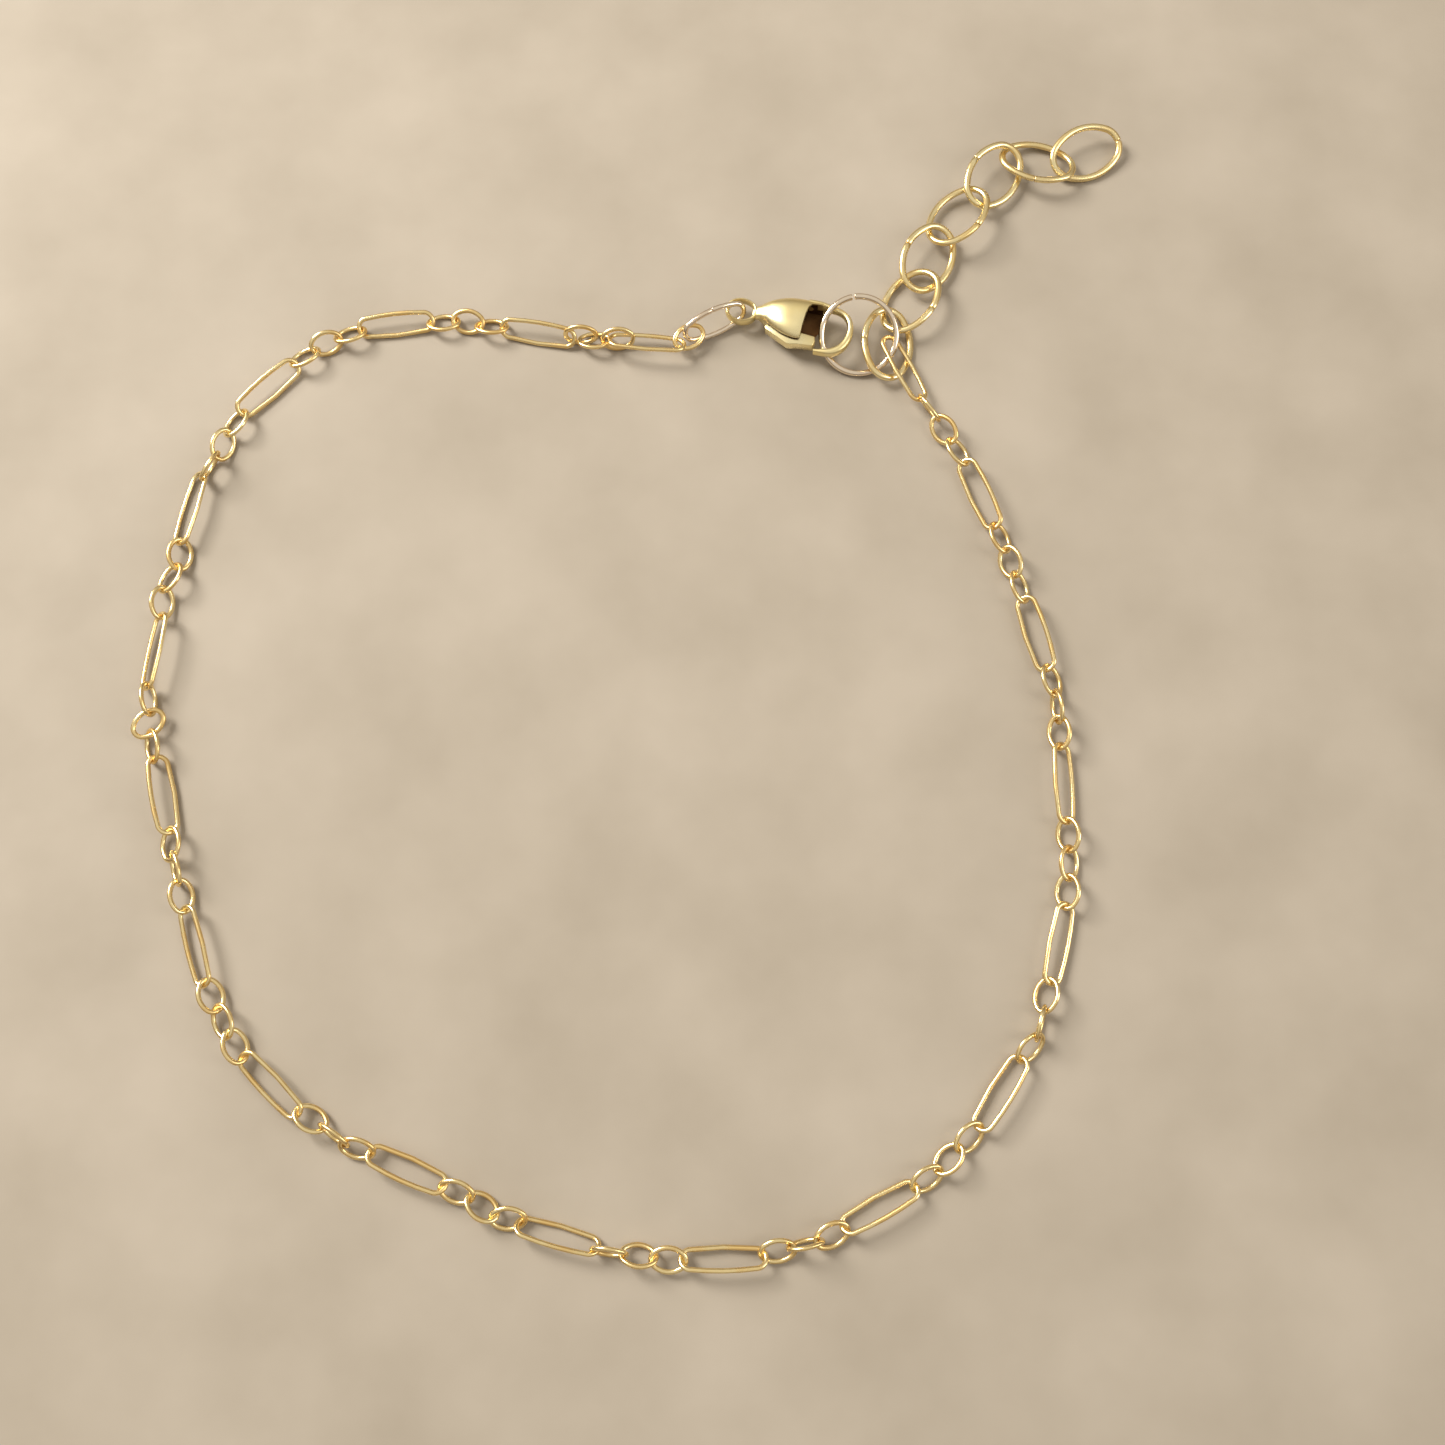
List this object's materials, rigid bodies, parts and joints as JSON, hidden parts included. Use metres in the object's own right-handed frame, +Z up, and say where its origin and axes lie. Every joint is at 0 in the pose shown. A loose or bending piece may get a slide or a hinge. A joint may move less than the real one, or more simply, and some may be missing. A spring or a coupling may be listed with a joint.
{
  "type": "gold chain bracelet with lobster clasp and extender",
  "caption": "Fine gold link chain bracelet closed on a lobster clasp, with a jump ring and an oval-link extender, laid out flat in a wide loop.",
  "frame": {"origin": "middle of the footprint, on the surface that the bracelet lies on", "axes": "+Z up from the surface; +Y away from the viewer, along the longest extent; +X to the viewer's right"},
  "size_m": [0.0658, 0.0763, 0.0023],
  "materials": {
    "gold": "polished",
    "pale_gold": "polished",
    "clasp_gold": "satin"
  },
  "bodies": {
    "bracelet": {"chain": "gold", "jump_ring": "pale_gold", "oval_ring": "pale_gold", "clasp_body": "clasp_gold", "extender_link_1": "gold", "extender_link_2": "gold", "extender_link_3": "gold", "extender_link_4": "gold", "extender_link_5": "gold", "extender_link_6": "gold", "extender_link_7": "gold"},
    "lever": {"clasp_lever": "clasp_gold"}
  },
  "joints": [
    {"name": "clasp_lever_hinge", "type": "hinge", "parent": "bracelet", "child": "lever", "pos_m": [0.009, 0.02262, 0.00108], "axis": [-0.0544, 0.0124, 0.9984], "range_deg": [0, 25], "stiffness_Nm_per_rad": 0.0005, "springref_deg": -11.46}
  ]
}
